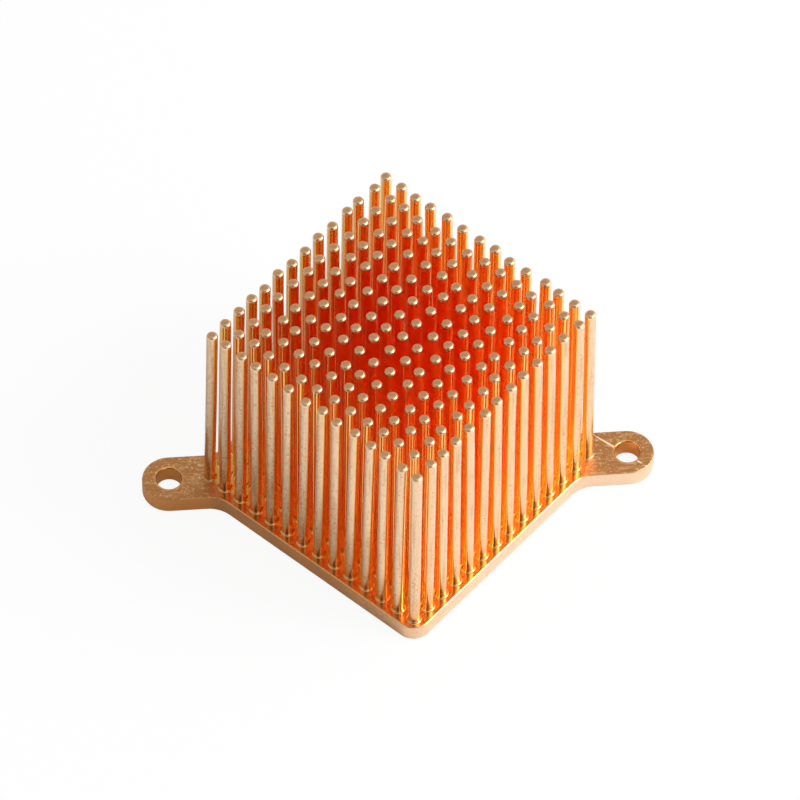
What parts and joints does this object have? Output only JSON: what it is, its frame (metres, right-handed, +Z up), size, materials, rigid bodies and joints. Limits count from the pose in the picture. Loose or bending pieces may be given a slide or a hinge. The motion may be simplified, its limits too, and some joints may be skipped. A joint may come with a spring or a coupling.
{
  "type": "pin fin heat sink",
  "caption": "Copper pin fin heat sink: a square base plate with a dense grid of round pins and a holed mounting ear on two opposite corners.",
  "frame": {"origin": "centre of the underside of the base plate", "axes": "+X runs through both mounting holes, +Y along the other diagonal of the square base, +Z up along the pins"},
  "size_m": [0.0658, 0.0514, 0.032],
  "materials": {
    "copper": "bare satin copper"
  },
  "bodies": {
    "root": {"heat_sink": "copper"}
  },
  "joints": []
}
